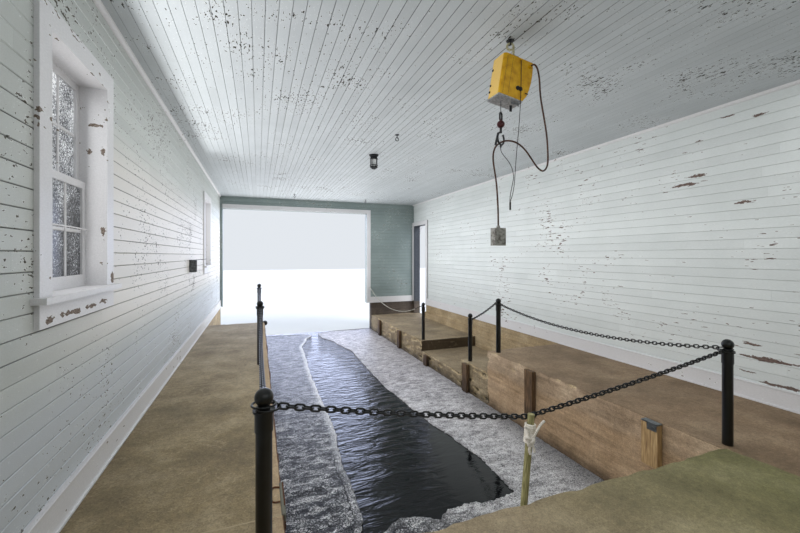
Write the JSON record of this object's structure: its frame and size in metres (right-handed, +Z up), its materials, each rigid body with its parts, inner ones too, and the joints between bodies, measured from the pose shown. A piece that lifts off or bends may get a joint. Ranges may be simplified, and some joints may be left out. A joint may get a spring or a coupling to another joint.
{
  "type": "boathouse",
  "caption": "Boathouse with a boat slip between concrete decks, board walls, sash windows, a wide boat opening, a side doorway, chain barriers, a ceiling hoist and a gable roof.",
  "frame": {"origin": "middle of the footprint at the water level, which is the flat foot of all concrete", "axes": "+Y along the building towards the lake, +X to the side with the stepped deck and the doorway, +Z up"},
  "size_m": [7.02, 13.24, 5.9341],
  "materials": {
    "concrete": "weathered, matte",
    "slab_concrete": "mossy, matte",
    "wall_paint": "worn paint",
    "ceiling_paint": "worn paint",
    "trim_paint": "worn satin paint",
    "door_jamb_paint": "matte paint",
    "roof_shingle": "mineral shingle",
    "window_glass": "frosted",
    "black_plastic": "gloss",
    "pole_wood": "raw",
    "rope_fibre": "laid rope",
    "fender_timber": "wet, raw",
    "rusty_iron": "rusty",
    "cream_metal": "satin",
    "hoist_paint": "satin",
    "hoist_plate_metal": "satin",
    "wire_rope": "stranded",
    "dark_steel": "satin",
    "clevis_paint": "worn",
    "cable_rubber": "matte",
    "switch_shell": "satin",
    "lamp_glass": "clear",
    "outlet_metal": "worn"
  },
  "bodies": {
    "root": {"left_chain": "black_plastic", "front_chain": "black_plastic", "right_chain": "black_plastic", "left_walkway": "concrete", "near_slab": "slab_concrete", "right_deck": "concrete", "lower_step": "concrete", "middle_landing": "concrete", "far_landing": "concrete", "left_foundation": "concrete", "back_foundation": "concrete", "right_foundation": "concrete", "front_foundation": "concrete", "left_wall": "wall_paint", "back_wall": "wall_paint", "right_wall": "wall_paint", "door_head_wall": "wall_paint", "front_wall": "wall_paint", "front_post": "wall_paint", "front_lintel": "wall_paint", "ceiling": "ceiling_paint", "ceiling_moulding": "trim_paint", "baseboards": "trim_paint", "left_roof": "roof_shingle", "right_roof": "roof_shingle", "ridge_cap": "roof_shingle", "gables": "wall_paint", "eave_braces": "trim_paint", "boat_opening_casing": "trim_paint", "side_door_casing": "trim_paint", "side_door_jamb": "door_jamb_paint", "window_casings": "trim_paint", "window_jambs": "trim_paint", "window_sashes": "trim_paint", "window_glass": "window_glass", "left_bollards": "black_plastic", "right_bollards": "black_plastic", "corner_bumper": "black_plastic", "chain_pole": "pole_wood", "pole_lashing": "rope_fibre", "barrier_rope": "rope_fibre", "slip_fenders": "fender_timber", "mooring_rings": "rusty_iron", "outlet_box": "outlet_metal", "hoist_hanger": "cream_metal", "hoist_clevis": "clevis_paint", "hoist_body": "hoist_paint", "hoist_plate": "hoist_plate_metal", "hoist_rope": "wire_rope", "load_hook": "dark_steel", "pendant_cable": "cable_rubber", "switch_box": "switch_shell", "pull_cord": "cable_rubber", "return_cord": "cable_rubber", "cord_sleeve": "cable_rubber", "light_base": "dark_steel", "light_globe": "lamp_glass", "ceiling_hooks": "dark_steel"}
  },
  "joints": []
}
